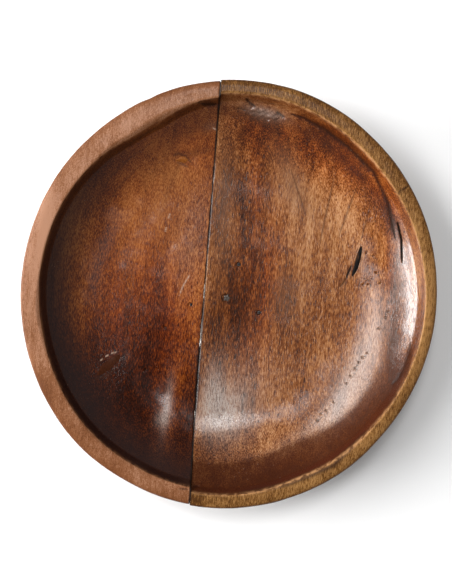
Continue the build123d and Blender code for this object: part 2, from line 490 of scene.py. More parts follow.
# Pinholes and small pits: (x, y, radius)
PINHOLES = {
    "left": [
        (-55.1, -58.9, 0.8), (-43.5, -27.3, 0.9), (-20.6, 29, 0.5),
    ],
    "right": [
        (114.6, -4.6, 0.9), (113, -8.6, 0.7), (109.2, -16.8, 0.7), (102.3, -34.8, 0.6),
        (99.4, -38.4, 0.8), (97, -42, 0.7), (94.6, -46.4, 0.9), (91.8, -52.2, 0.7), (89.4, -57.6, 0.6),
        (80.9, -71.3, 0.6), (76.2, -78, 0.8), (72.8, -80.6, 0.6), (70.3, -85.3, 0.8), (104.5, 23, 0.7),
        (107.8, 15.6, 0.6), (99.6, 14, 0.5), (96, 13.6, 0.6), (101.4, 34.6, 0.6), (96.8, 36.4, 0.5),
    ],
}
# More places on the right wall where the mesh is divided further: (x, y, radius)
RIGHT_FINE = [
    (6, 133, 6), (16, 130, 6), (27, 128, 5), (130, -28, 4), (128, -38, 5), (123, -50, 5),
]


def pit_mask(points, side):
    """1 in the middle of each pinhole, 0 away from it."""
    mask = np.zeros(len(points))
    for x, y, radius in PINHOLES[side]:
        distance = np.hypot((points[:, 0] - x) * 0.8, points[:, 1] - y)
        mask = np.maximum(mask, hump(distance, 0.0, radius))
    return mask


def fine_spots(side):
    """Places with small details, as (x, y, radius), where the mesh is divided further."""
    spots = [(x, y, 1.6) for x, y, _ in PINHOLES[side]]
    if side == "right":
        spots += RIGHT_FINE
    for node in PLUG_NODES + INLAY_NODES[side]:
        low, high = node_box(node)
        steps = max(1, round((high[1] - low[1]) / 5.0))
        path = falling if node == "wall_crack_fill" else rising
        start, end = [np.array(p) for p in path((low, high))]
        for t in (np.arange(steps) + 0.5) / steps:
            x, y = start + (end - start) * t
            spots.append((x, y, max(2.6, (high[1] - low[1]) / steps / 2 + 1.6)))
    return spots


def divide_spots(bm, side):
    """Divides the floor's faces near each small detail."""
    zone_layer = bm.verts.layers.float["zone"]
    for _ in range(2):
        edges = set()
        for x, y, radius in fine_spots(side):
            for v in bm.verts:
                if v[zone_layer] < 0.5 and abs(v.co.x - x) < radius and abs(v.co.y - y) < radius:
                    edges.update(v.link_edges)
        bmesh.ops.subdivide_edges(bm, edges=list(edges), cuts=1, use_grid_fill=True)


def link(name, data):
    """A new object in the scene."""
    obj = bpy.data.objects.new(name, data)
    bpy.context.scene.collection.objects.link(obj)
    return obj


def make_object(name, bm, angle=40.0):
    """A mesh object in metres from a bmesh in millimetres, smooth but for its sharp edges."""
    bmesh.ops.scale(bm, vec=(MM, MM, MM), verts=bm.verts)
    mesh = bpy.data.meshes.new(name)
    bm.to_mesh(mesh)
    bm.free()
    mesh.shade_smooth()
    mesh.set_sharp_from_angle(angle=math.radians(angle))
    return link(name, mesh)


def add_mask(obj, name, values):
    """Stores one number per vertex for the material to read."""
    layer = obj.data.attributes.new(name, "FLOAT", "POINT")
    layer.data.foreach_set("value", np.ascontiguousarray(values, np.float32))


def bowl_half(side, name):
    """One carved half as a closed mesh, and its cut face for the glue film."""
    bm = bowl_shell(side)
    sign = -1.0 if side == "left" else 1.0
    cut_x = SEAM_X + sign * SEAM_GAP / 2

    def cut(place_x, facing, remove):
        every = bm.verts[:] + bm.edges[:] + bm.faces[:]
        plane = {"plane_co": (place_x, 0, 0), "plane_no": (facing, 0, 0)}
        bmesh.ops.bisect_plane(bm, geom=every, clear_outer=remove, dist=1e-4, **plane)

    cut(cut_x, -sign, True)
    for offset in SEAM_ROWS:
        cut(cut_x + sign * offset, 1, False)
    divide_spots(bm, side)
    zone_layer = bm.verts.layers.float["zone"]
    rim_edges = [e for e in bm.edges if e.is_boundary]
    bm.normal_update()
    points = positions(bm)
    normals = np.array([v.normal for v in bm.verts], float)
    zone = np.array([v[zone_layer] for v in bm.verts])
    amount = carving(points, zone, side)
    from_cut = np.abs(points[:, 0] - cut_x)
    worn = 0.28 + 0.14 * ripples(points, 16.0, 12) + 0.2 * hump(points[:, 1], -70.0, 34.0)
    amount -= np.clip(worn, 0.08, 0.7) * np.clip(1 - from_cut / SEAM_ROWS[-1], 0, 1) ** 1.5
    moved = points + normals * amount[:, None]
    moved[:, 0] += seam_shift(moved)
    moved[:, 2] = np.clip(moved[:, 2], 0.0, HEIGHT - CLEAR_OF_TOP)
    for v, co in zip(bm.verts, moved):
        v.co = co
    sunk = moved - normals * FILM_SUNK
    bm.verts.index_update()
    fill = bmesh.ops.triangle_fill(bm, edges=rim_edges, use_beauty=False)
    cut_faces = [f for f in fill["geom"] if isinstance(f, bmesh.types.BMFace)]
    bmesh.ops.recalc_face_normals(bm, faces=bm.faces[:])
    film = [[tuple(sunk[v.index]) for v in f.verts] for f in cut_faces]
    return make_object(name, bm), film


left_half, left_film = bowl_half("left", "carved_left_half")
right_half, _ = bowl_half("right", "carved_right_half")

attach(left_half, "root")
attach(right_half, "root")
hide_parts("left_half")
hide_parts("right_half")


# ---- Painted masks: how the colour changes over each half, one number per vertex

# Lighter and darker places, partly the wood's own colour and partly painted highlights and painted shade: (x,
# y, spread along, spread across, turn, amount)
TONES_AND_PAINTED_LIGHT = {
    "left": [
        (-52, 66, 58, 24, 66, 0.28), (-78, 70, 50, 20, 60, 0.1), (-32, 8, 40, 22, 80, 0.1),
        (-42, -34, 44, 30, 90, -0.16), (-60, 8, 60, 22, 90, -0.07), (-92, 6, 60, 12, 90, -0.19),
        (-32, 104, 22, 14, 0, -0.14), (-54, -84, 30, 14, 120, -0.1), (-22, -92, 36, 9, 90, -0.26),
        (-80, -70, 50, 34, 130, -0.24), (-50, -110, 46, 24, 150, -0.16), (-36, -84, 26, 6, 82, 0.2),
    ],
    "right": [
        (60, 62, 50, 26, 100, 0.06), (52, 16, 46, 24, 90, 0.16), (40, -50, 40, 30, 90, 0.02),
        (16, -20, 46, 34, 90, -0.1), (94, -20, 64, 16, 100, 0.12), (84, -76, 44, 10, 42, 0.02),
        (62, -62, 40, 14, 45, -0.06), (0, -86, 30, 17, 60, 0.22), (6, -10, 34, 22, 90, -0.18),
        (-9, -26, 40, 8, 90, -0.16), (-9, -60, 30, 6, 90, 0.1), (44, -130, 74, 14, 17, -0.46),
        (106, -84, 60, 14, 55, -0.46), (118, -8, 62, 5.5, 92, -0.42), (30, 60, 70, 40, 90, -0.08),
        (-6, -111, 10, 10, 0, -0.22), (26, 116, 40, 15, -18, -0.22), (84, 92, 50, 10, -50, -0.12),
        (4, 116, 22, 12, 0, -0.1), (98, 78, 34, 9, 126, -0.12), (80, -58, 24, 10, 60, -0.12),
    ],
}
# The rim's lighter and darker places: its own colour, with a painted sheen along the left rim's inner half
RIM_TONES_AND_SHEEN = {
    "left": [
        (-127, 20, 60, 7, 95, 0.42), (-136, 0, 70, 10, 92, 0.24), (-104, 84, 40, 6, 52, 0.16),
        (-66, 118, 34, 6, 28, 0.16), (-92, -112, 50, 14, 130, -0.06), (-121, -79, 15, 7, 117, -0.16),
    ],
    "right": [
        (142, -8, 70, 10, 90, 0.3), (80, -118, 80, 10, 38, 0.08), (30, 141, 40, 8, -12, -0.16),
        (110, 92, 50, 8, -52, -0.1), (-14, 141, 5, 9, 0, -0.3), (-13, -145, 6, 7, 0, -0.3),
    ],
}
# How glossy the lacquer still is: a base, then ovals that add or take away
GLOSS = {
    "left": (0.58, [
        (-38.5, -88, 14, 4, 86, 0.3), (-24, -86, 36, 9, 90, -0.8), (-52, -88, 30, 7, 90, -0.4),
        (-58, -66, 40, 14, 70, -0.6), (-40, -20, 40, 30, 90, -0.35),
    ]),
    "right": (0.72, [
        (4, -6, 44, 30, 90, -0.6), (-2, -78, 26, 18, 74, 0.4), (20, -106, 60, 9, 8, -0.7),
        (113, -14, 60, 3.5, 96, -0.4), (2, -101, 24, 6, 10, -0.6), (107, 40, 20, 8, 104, -0.55),
        (40, -94, 20, 11, 16, -0.55), (-12, -92, 8, 7, 0, -0.4),
    ]),
}
# Painted highlights and reflections: pale patches where the lamps are reflected in the lacquer
PAINTED_HIGHLIGHTS = {
    "left": [
        (-37.6, -83, 16, 2.8, 86, 0.55), (-40, -92, 6, 4.6, 80, 0.5), (-29, 34, 40, 13, 82, 0.12),
    ],
    "right": [
        (-7, -74, 20, 7, 84, 0.78), (4, -84, 17, 12, 70, 0.85), (16, -78, 34, 20, 80, 0.26),
        (17.5, 129.5, 13, 3.2, -10, 0.45), (119, 30, 26, 5, 96, 0.3), (70, -90, 44, 7, 36, 0.3),
        (98, -38, 50, 8, 68, 0.38), (89, -64, 26, 7, 52, 0.2),
    ],
}
# Redder places, then greyer ones
WARM = {
    "left": [
        (-46, -24, 60, 30, 90, 0.7), (-72, -16, 60, 24, 90, 0.6), (-60, 96, 50, 24, 50, 0.5),
        (-24, 104, 24, 20, 0, 0.5),
    ],
    "right": [
        (17, 56, 46, 5.5, 97, 0.9), (22, 2, 56, 17, 90, 0.9), (36, 112, 60, 18, -20, 0.9),
        (92, 96, 50, 12, -52, 0.9), (116, 20, 44, 5, 96, 0.6),
    ],
}
# Greyer places: partly the wood's own grey, partly a painted reflection of the lamps on the right's lower
# wall and on the band under the upper right lip
COOL = {
    "left": [
        (-20, 118, 6, 3, 20, 0.9), (-56, 60, 60, 22, 66, 0.35),
    ],
    "right": [
        (40, 84, 24, 9, 118, 0.9), (-8, 64, 46, 7, 92, 0.6), (42, 0, 20, 12, 90, 0.5),
        (14, 129, 16, 5, -12, 0.8), (98, -56, 56, 14, 62, 0.6),
    ],
}
# Pale marks on the left floor: scratches, painted glints, and a painted highlight along the lacquer run's
# upper edge
SCRATCHES_AND_GLINTS = [
    [(-28.1, 12.6), (-31, 7.4), (-33.6, 1.6), (-35, -4)], [(-47, 50.5), (-46, 55)],
    [(-88, -54.6), (-86, -52.4)], [(-84.6, -51.4), (-82.8, -50.2)], [(-80.6, -48.8), (-77, -47.4)],
    [(-48.6, 41), (-48, 45)], [(-20, 117), (-15.5, 115.6)],
]
# Rows of pinholes, and short cracks across the rim
PIN_PATHS = [
    [(102.3, -34.8), (96.4, -44), (89.4, -57.6)], [(80.9, -71.3), (70.3, -85.3)],
    [(114, -4.8), (112, -8.5)], [(109, -16.4), (109, -18)], [(94, 33), (101, 30), (107, 35)],
    [(93, 17), (101, 17.5), (107, 22)],
]
RIM_CHECKS = [
    [(41.2, 144), (42.3, 134.6)], [(53, -121.5), (54, -128.6)], [(119, 84), (112, 78)],
]
# Dark marks on the left floor and wall: tool lines and dark outlines, with painted shade along the edges of
# the adze's scoops and under the lacquer run's lower edge: (path, width, amount)
LEFT_LINES = [
    ([(-110.1, 55.1), (-104.3, 71), (-90.8, 87.3), (-72.9, 102.7), (-53.6, 116.1)], 1.3, 0.7),
    ([(-100, 58), (-90, 76), (-76, 91), (-60, 104)], 1.3, 0.7),
    ([(-94, 50), (-84, 70), (-70, 86)], 1.3, 0.7),
    ([(-41.7, 88.9), (-37.4, 96.9), (-23.7, 101.4), (-16.8, 102.6)], 6, 0.55),
    ([(-53, 51.5), (-49.4, 69.4), (-41.7, 88.9)], 6.5, 0.3), ([(-19.5, 43.5), (-32.1, 25)], 6, 0.3),
    ([(-72, 30), (-58, 60), (-50, 84)], 6, 0.18), ([(-36, 112), (-26, 118), (-16, 120)], 5, 0.25),
    ([(-91, -67.5), (-83, -65), (-76.5, -58.5), (-72.5, -50.5)], 1.8, 0.9),
    ([(-46.5, 95), (-43, 97.6), (-37.5, 96.2), (-32.6, 91.5)], 2.6, 1),
    ([(-44, 91), (-39, 90.2), (-34.6, 88.6)], 1.8, 0.8),
]
# Thin dark lines on the right floor, the last of them painted shade, and the torn edge of the turning centre,
# which gets painted shade
RIGHT_LINES = [
    [(38.6, 92), (52, 60)], [(70, 92), (63, 40)], [(86, 84), (76, 46)], [(96, 70), (92, 44)],
    [(113.1, -64.3), (104.6, -75.7), (94.1, -89.4)],
]
CENTRE_TEARS = [
    [(-5, -3.6), (4.2, -2.4)], [(-2.6, 1.2), (0.8, -7.2)], [(-4.4, -6), (2.4, 0.8)],
]
# Amounts round the bowl: (angle, amount)
# painted shade on the inner walls, strongest where they face away from the lamps
WALL_SHADE = {
    "left": [(60, 0.5), (120, 0.5), (150, 0.85), (180, 1), (270, 1)],
    "right": [
        (0, 0.28), (20, 0.22), (60, 0.45), (110, 0.35), (250, 0.88), (290, 0.9), (325, 0.9), (345, 0.5),
    ],
}
RIGHT_DULL = [(0, 0), (200, 0.3), (280, 0.9), (328, 0.9), (344, 0)]
# painted light on the band just under the upper right lip, which faces the lamps
PAINTED_LIT_BAND = [(0, 0.2), (20, 0.6), (35, 1), (80, 1), (92, 0.5), (110, 0.2), (200, 0), (340, 0)]
WORN_LIP = [(0, 0.2), (25, 0.4), (50, 1), (120, 0.6), (240, 0.6), (290, 1), (320, 0.8), (340, 0.3)]
# painted shade just under the inner lip
SHADE_UNDER_LIP = [
    (0, 0.25), (24, 0.1), (60, 0.1), (90, 0.2), (110, 0.5), (180, 0.5), (260, 0.6), (300, 1), (330, 0.5),
]
# The gloss of the worn rim and of the outside
RIM_GLOSS = 0.10
OUTSIDE_GLOSS = 0.35
# How strong the broad and narrow grain is, and how much painted shade darkens the rim towards its outer edge,
# where it rolls over
GRAIN_TONES = {"left": (0.06, 0.03), "right": (0.10, 0.05)}
EDGE_SHADE_TONE = {"left": 0.14, "right": 0.04}
# How far the painted shade on the right wall reaches down from the lip: (angle, mm)
DARK_REACH = [(0, 20), (60, 16), (110, 14), (250, 20), (280, 21), (298, 23), (320, 17), (340, 18)]


def blobs(points, shapes):
    """The sum of soft ovals, each an amount at its middle."""
    total = np.zeros(len(points))
    for x, y, long_spread, cross_spread, turn, amount in shapes:
        angle = math.radians(turn)
        dx, dy = points[:, 0] - x, points[:, 1] - y
        u = (dx * math.cos(angle) + dy * math.sin(angle)) / long_spread
        v = (-dx * math.sin(angle) + dy * math.cos(angle)) / cross_spread
        total += amount * np.exp(-(u * u + v * v))
    return total


def strokes(points, paths, width, taper=True):
    """The strongest of several strokes of one width at each point."""
    return np.max([stroke(points, path, width, taper) for path in paths], axis=0)


def left_marks(masks, points, angles, to_lip, inside):
    """The masks' parts that only the left half has."""
    # tool lines and dark outlines, with painted shade along the scoops' edges and under the lacquer run
    marks = [amount * stroke(points, path, width) for path, width, amount in LEFT_LINES]
    masks["lines"] = np.max(marks, axis=0) * inside
    # scratches, with painted glints and a painted highlight on the lacquer run's upper edge
    masks["pale"] = strokes(points, SCRATCHES_AND_GLINTS, 0.75)
    masks["shade"] = smooth(40, 4, to_lip) * around(angles, WALL_SHADE["left"])


def right_marks(masks, points, angles, to_lip, inside):
    """The masks' parts that only the right half has."""
    # painted shade on the right wall's band below the lip, which also loses gloss and painted highlight there
    reach = around(angles, DARK_REACH)
    painted_wall_shade = smooth(reach + 2.5, reach - 3.5, to_lip)
    dull = painted_wall_shade * around(angles, RIGHT_DULL)
    masks["gloss"] *= 1.0 - dull
    masks["cloud"] *= 1.0 - dull
    masks["shade"] = painted_wall_shade * around(angles, WALL_SHADE["right"])
    # painted light on the band under the upper right lip, and painted shade in and beside the groove below it
    masks["tone"] += 0.36 * hump(to_lip, 4.4, 4.0) * around(angles, PAINTED_LIT_BAND)
    masks["tone"] -= 0.30 * stroke(points, WALL_GROOVE, 5.5) + 0.14 * stroke(points, WALL_GROOVE, 20.0)
    masks["pins"] = strokes(points, PIN_PATHS, 3.4, taper=False) * inside
    halo = stroke(points, KNOT_LINE, 9.0) * 0.5 + stroke(points, STREAK_LINE, 5.0) * 0.4
    # painted shade along the lower crease
    crease = 0.9 * stroke(points, LOWER_CREASE, 3.6)
    masks["lines"] = np.max([strokes(points, RIGHT_LINES, 1.4), crease, halo * inside], axis=0)
    # the rim checks and the knot's tail are dark in themselves; the gouge and the tears round the turning
    # centre get painted shade
    dark_cuts = [
        ~inside * strokes(points, RIM_CHECKS, 1.1, taper=False),
        0.9 * inside * stroke(points, KNOT_TAIL, 2.0),
        0.95 * inside * stroke(points, GOUGE, 3.2),
        0.85 * inside * strokes(points, CENTRE_TEARS, 2.0),
    ]
    masks["cuts"] = np.max([masks["cuts"], *dark_cuts], axis=0)


def paint(obj, side):
    """Adds the masks that the wood materials read."""
    count = len(obj.data.vertices)
    flat = np.empty(count * 3)
    obj.data.vertices.foreach_get("co", flat)
    points = flat.reshape(-1, 3) / MM
    zone = np.empty(count, np.float32)
    obj.data.attributes["zone"].data.foreach_get("value", zone)
    angles = np.degrees(np.arctan2(points[:, 1], points[:, 0]))
    to_edge = outline(angles, side) - np.hypot(points[:, 0], points[:, 1])
    to_lip = to_edge - around(angles, RIM_WIDTH[side])
    inside = zone < 0.5
    base_gloss, gloss_shapes = GLOSS[side]
    gloss = np.clip(base_gloss + blobs(points, gloss_shapes), 0.03, 1.0)
    # painted shade in the carved cuts, grooves and dents
    cuts = [min(1.0, depth * 1.3) * stroke(points, path, width * 0.8) for path, width, depth in CUTS[side]]
    masks = {
        "rim": smooth(0.3, 0.8, zone),
        "underneath": smooth(1.2, 1.8, zone),
        "gloss": gloss,
        # painted highlights and reflections of the lamps
        "cloud": np.clip(blobs(points, PAINTED_HIGHLIGHTS[side]), 0, 1) * inside,
        # the wood's own colour, with painted highlights and painted shade
        "tone": blobs(points, TONES_AND_PAINTED_LIGHT[side]),
        "warm": blobs(points, WARM[side]),
        "cool": blobs(points, COOL[side]),
        "cuts": np.max(cuts, axis=0),
        "pale": np.zeros(count),
        "pins": np.zeros(count),
        # painted shade along the rim's rolled outer edge
        "outer_edge": hump(to_edge, 0.3, 1.1) * (zone > 0.5),
        "lip_edge": hump(to_lip, 0.0, 0.7) * around(angles, WORN_LIP) * (zone < 1.5),
        # painted shade just under the inner lip
        "under_lip": hump(to_lip, 2.2, 1.4) * around(angles, SHADE_UNDER_LIP) * inside,
    }
    add_marks = left_marks if side == "left" else right_marks
    add_marks(masks, points, angles, to_lip, inside)
    # painted shade in the pinholes' pits
    masks["cuts"] = np.clip(np.maximum(masks["cuts"], inside * pit_mask(points, side)), 0, 1)
    masks["gloss"] = np.where(inside, masks["gloss"], np.where(zone < 1.5, RIM_GLOSS, OUTSIDE_GLOSS))
    masks["gloss"] *= 1 - 0.9 * masks["cuts"]
    masks["shade"] *= inside
    broad, narrow = GRAIN_TONES[side]
    masks["tone"] += broad * ripples(points, 40.0, 21, (1, 2.5, 1))
    masks["tone"] += narrow * ripples(points, 12.0, 22, (1, 3, 1))
    # the rim's own colour, with a painted sheen on the left rim's inner half and painted shade towards its
    # outer edge
    rim_tone_and_painted_light = blobs(points, RIM_TONES_AND_SHEEN[side]) - EDGE_SHADE_TONE[side] * hump(to_edge, 0.0, 4.0)
    rim_tone_and_painted_light *= smooth(-10.0, 0.0, points[:, 2] - HEIGHT)
    rim_tone_and_painted_light += 0.06 * ripples(points, 30.0, 23)
    masks["tone"] = np.where(inside, masks["tone"], rim_tone_and_painted_light)
    to_seam = np.abs(points[:, 0] - SEAM_X - seam_shift(points)) - SEAM_GAP / 2
    gap = 0.45 + 0.2 * ripples(points, 9.0, 31) + 0.9 * hump(points[:, 1], -62.0, 30.0)
    masks["seam"] = hump(np.maximum(to_seam, 0), 0.0, np.clip(gap, 0.25, 1.6))
    for name, values in masks.items():
        add_mask(obj, name, values if name == "tone" else np.clip(values, 0, 1))


paint(left_half, "left")
paint(right_half, "right")


# ---- Materials


class Tree:
    """A short way to write a material's nodes."""

    def __init__(self, name):
        self.material = bpy.data.materials.new(name)
        self.material.use_nodes = True
        self.nodes = self.material.node_tree.nodes
        self.links = self.material.node_tree.links
        self.shader = self.nodes["Principled BSDF"]

    def put(self, socket, value):
        if isinstance(value, bpy.types.NodeSocket):
            self.links.new(value, socket)
        elif isinstance(value, tuple) and len(value) == 3 and socket.type == "RGBA":
            socket.default_value = (*value, 1.0)
        else:
            socket.default_value = value

    def fill(self, node, inputs):
        for key, value in inputs.items():
            self.put(node.inputs[key], value)

    def node(self, kind, inputs, **settings):
        node = self.nodes.new(kind)
        for key, value in settings.items():
            setattr(node, key, value)
        self.fill(node, inputs)
        return node.outputs

    def mask(self, name):
        return self.node("ShaderNodeAttribute", {}, attribute_name=name)["Fac"]

    def place(self, scale=(1.0, 1.0, 1.0), turn=0.0):
        """The row's own coordinates, turned about Z and scaled."""
        position = self.node("ShaderNodeTexCoord", {})["Object"]
        rotation = (0.0, 0.0, math.radians(turn))
        inputs = {"Vector": position, "Rotation": rotation, "Scale": scale}
        return self.node("ShaderNodeMapping", inputs)["Vector"]

    def noise(self, vector, scale, detail=2.0, roughness=0.5, distortion=0.0):
        inputs = {"Vector": vector, "Scale": scale, "Detail": detail}
        inputs.update({"Roughness": roughness, "Distortion": distortion})
        return self.node("ShaderNodeTexNoise", inputs)["Fac"]

    def cells(self, scale):
        return self.node("ShaderNodeTexVoronoi", {"Vector": self.place(), "Scale": scale})["Distance"]

    def math(self, operation, a, b, clamp=False):
        return self.node("ShaderNodeMath", {0: a, 1: b}, operation=operation, use_clamp=clamp)["Value"]

    def level(self, value, low, high, to_low=0.0, to_high=1.0):
        """Maps a range smoothly to another, and holds it at both ends."""
        inputs = {"Value": value, "From Min": low, "From Max": high, "To Min": to_low, "To Max": to_high}
        return self.node("ShaderNodeMapRange", inputs, interpolation_type="SMOOTHSTEP")["Result"]

    def ramp(self, value, stops):
        outputs = self.node("ShaderNodeValToRGB", {"Fac": value})
        elements = outputs["Color"].node.color_ramp.elements
        while len(elements) < len(stops):
            elements.new(0.5)
        for element, (position, colour) in zip(elements, stops):
            element.position = position
            element.color = (*colour, 1.0)
        return outputs["Color"]

    def mix(self, amount, a, b, blend="MIX"):
        inputs = {"Factor": amount, "A": a, "B": b}
        return self.node("ShaderNodeMix", inputs, data_type="RGBA", blend_type=blend)["Result"]

    def sum(self, *terms):
        """Adds (value, weight) pairs."""
        total = 0.0
        for value, weight in terms:
            total = self.math("ADD", self.math("MULTIPLY", value, weight), total)
        return total

    def bump(self, height, distance, strength):
        inputs = {"Height": height, "Distance": distance, "Strength": strength}
        return self.node("ShaderNodeBump", inputs)["Normal"]


# What differs between the two boards' wood: colours from dark to pale, the colours of the painted shade on
# the walls and under the lip, and the grain's sizes
WOODS = {
    "left": {
        "stops": [
            (0, (0.012, 0.0025, 0.0008)), (0.26, (0.052, 0.009, 0.0012)), (0.5, (0.15, 0.031, 0.0028)),
            (0.7, (0.27, 0.077, 0.011)), (1, (0.44, 0.17, 0.045)),
        ],
        "rim_stops": [
            (0.2, (0.11, 0.036, 0.012)), (0.5, (0.19, 0.072, 0.028)), (0.85, (0.34, 0.17, 0.1)),
        ],
        "grey": (0.20, 0.085, 0.048),
        "painted_wall_shade": (0.017, 0.0078, 0.007),
        "under_lip": (0.012, 0.006, 0.005),
        "worn": (0.34, 0.155, 0.07),
        "shade": 0.9,
        "middle": 0.52,
        "weights": (1.5, 0.46, 0.36, 0.62),
        "rim_weights": (0.8, 0.5, 1.0),
        "fibre_place": ((1.0, 0.20, 1.0), 8.0),
        "pore_scale": 1900.0,
        "pore_weight": -0.10,
        "speck_scale": 420.0,
        "grain_depth": 0.00006,
    },
    "right": {
        "stops": [
            (0, (0.018, 0.0046, 0.001)), (0.26, (0.066, 0.0145, 0.0016)), (0.5, (0.16, 0.044, 0.007)),
            (0.7, (0.275, 0.103, 0.029)), (1, (0.43, 0.215, 0.095)),
        ],
        "rim_stops": [
            (0.2, (0.062, 0.022, 0.004)), (0.5, (0.162, 0.068, 0.016)), (0.8, (0.3, 0.15, 0.048)),
        ],
        "grey": (0.17, 0.085, 0.046),
        "painted_wall_shade": (0.045, 0.011, 0.004),
        "under_lip": (0.05, 0.010, 0.005),
        "worn": (0.44, 0.23, 0.10),
        "shade": 0.85,
        "middle": 0.55,
        "weights": (1.6, 0.75, 0.42, 0.55),
        "rim_weights": (1.7, 0.5, 1.0),
        "fibre_place": ((1.0, 0.15, 1.0), -2.0),
        "pore_scale": 1400.0,
        "pore_weight": -0.26,
        "speck_scale": 330.0,
        "grain_depth": 0.00010,
    },
}
# Colours that both boards share, painted highlight and shade colours among them, and the rim ramp's middle
RIM_MIDDLE = 0.52
ORANGE = (1.18, 0.82, 0.42)
UNDERSIDE = (0.62, 0.52, 0.48)
SPECKS = (0.42, 0.30, 0.23)
# the colour of the painted highlights
HIGHLIGHT_PAINT = (0.40, 0.34, 0.30)
SCRATCH_AND_GLINT_PAINT = (0.55, 0.38, 0.27)
# dark lines, partly painted shade
LINE = (0.045, 0.015, 0.007)
# dark in cracks, and painted shade in cuts and pits
CRACK_DARK_AND_CUT_SHADE = (0.018, 0.007, 0.004)
PIN = (0.015, 0.006, 0.004)
# the colour of the painted shade on the rim's rolled outer edge
EDGE_SHADE = (0.05, 0.016, 0.007)
JOINT = (0.008, 0.004, 0.003)


def wood(name, side):
    """Lacquered wood: fibres and pores along Y, painted tones, painted shade and highlights, a rim colour and
    worn edges.
    """
    look = WOODS[side]
    t = Tree(name)
    fibre = t.noise(t.place(*look["fibre_place"]), 1800.0, 2.0, 0.55)
    coarse = t.noise(t.place((1.0, 0.10, 1.0), -1.0), 300.0, 3.0, 0.55, 0.4)
    figure = t.noise(t.place((1.0, 0.12, 1.0), 1.5), 62.0, 3.0, 0.55, 0.6)
    stipple = t.noise(t.place(), 1700.0, 2.0, 0.7)
    pores = t.level(t.noise(t.place((1.0, 0.13, 1.0)), look["pore_scale"], 1.0, 0.4), 0.60, 0.70)
    pin_cells = t.level(t.cells(420.0), 0.30, 0.20)
    speck = t.level(t.cells(look["speck_scale"]), 0.10, 0.06)
    speck_zone = t.level(t.noise(t.place(), 30.0, 1.0), 0.5, 0.62)

    # Each noise is about 0.5 in the middle, so half of its weight comes off the sum.
    weights = look["weights"]
    grain = zip((fibre, coarse, figure, stipple), weights)
    value = t.sum(*grain, (t.mask("tone"), 1.0), (pores, look["pore_weight"]))
    value = t.math("ADD", value, look["middle"] - sum(weights) / 2, clamp=True)
    rim_weights = look["rim_weights"]
    rim_value = t.sum(*zip((fibre, coarse, stipple), rim_weights), (t.mask("tone"), 1.0))
    rim_value = t.math("ADD", rim_value, RIM_MIDDLE - sum(rim_weights) / 2, clamp=True)

    # Coats over the plain wood, in the order they lie, painted shade and highlights among them: (where, how
    # much, colour, blend)
    # grain that breaks up the painted highlights
    highlight_grain = t.level(t.sum((fibre, 0.6), (stipple, 0.4)), 0.36, 0.62, 0.25, 1.0)
    coats = [
        (t.mask("warm"), t.level(figure, 0.3, 0.6, 0.35, 0.9), ORANGE, "MULTIPLY"),
        # greyer wood, partly a painted reflection
        (t.mask("cool"), 0.6, look["grey"], "MIX"),
        (t.mask("rim"), 1.0, t.ramp(rim_value, look["rim_stops"]), "MIX"),
        # painted shade on the walls
        (t.mask("shade"), look["shade"], look["painted_wall_shade"], "MIX"),
        # dark lines, partly painted shade
        (t.mask("lines"), 0.65, LINE, "MIX"),
        # dark cracks, and painted shade in cuts and pits
        (t.mask("cuts"), 0.85, CRACK_DARK_AND_CUT_SHADE, "MIX"),
        (t.mask("pins"), pin_cells, PIN, "MIX"),
        (speck, t.math("MULTIPLY", speck_zone, 0.4), SPECKS, "MIX"),
        # scratches, painted glints and a painted highlight
        (t.mask("pale"), 0.8, SCRATCH_AND_GLINT_PAINT, "MIX"),
        # painted highlights and reflections
        (t.mask("cloud"), highlight_grain, HIGHLIGHT_PAINT, "MIX"),
        # painted shade just under the inner lip
        (t.mask("under_lip"), 0.6, look["under_lip"], "MIX"),
        (t.mask("lip_edge"), t.level(coarse, 0.38, 0.6, 0.15, 0.75), look["worn"], "MIX"),
        # painted shade along the rim's rolled outer edge
        (t.mask("outer_edge"), 0.38, EDGE_SHADE, "MIX"),
        (t.mask("underneath"), 1.0, UNDERSIDE, "MULTIPLY"),
        (t.mask("seam"), 1.0, JOINT, "MIX"),
    ]
    colour = t.ramp(value, look["stops"])
    for where, amount, coat, blend in coats:
        colour = t.mix(t.math("MULTIPLY", where, amount), colour, coat, blend)

    rough = t.sum((fibre, 0.16), (stipple, 0.12), (t.mask("rim"), 0.16), (pores, 0.10))
    pins = t.math("MULTIPLY", t.mask("pins"), pin_cells)
    height = t.sum((fibre, 1.0), (stipple, 0.7), (pores, -0.8), (pins, -2.0))
    normal = t.bump(height, look["grain_depth"], 0.6)
    t.fill(t.shader, {
        "Base Color": colour,
        "Roughness": t.math("ADD", rough, 0.16, clamp=True),
        "Specular IOR Level": 0.06,
        "Coat Weight": t.mask("gloss"),
        "Coat Roughness": 0.16,
        "Normal": normal,
        "Coat Normal": normal,
    })
    return t.material


left_half.data.materials.append(wood("left_wood", "left"))
right_half.data.materials.append(wood("right_wood", "right"))

# ---- The small pieces: glue film, beads, plugs, knots, fills and lacquer


def bvh_of(obj):
    mesh = obj.data
    return BVHTree.FromPolygons([v.co for v in mesh.vertices], [p.vertices[:] for p in mesh.polygons])


TREES = [bvh_of(left_half), bvh_of(right_half)]


def height_at(x, y):
    """Height of the carved surface at a place, in mm."""
    best = None
    for tree in TREES:
        hit = tree.ray_cast(Vector((x * MM, y * MM, 0.2)), Vector((0, 0, -1)))[0]
        if hit is not None:
            best = hit.z / MM if best is None else max(best, hit.z / MM)
    return best


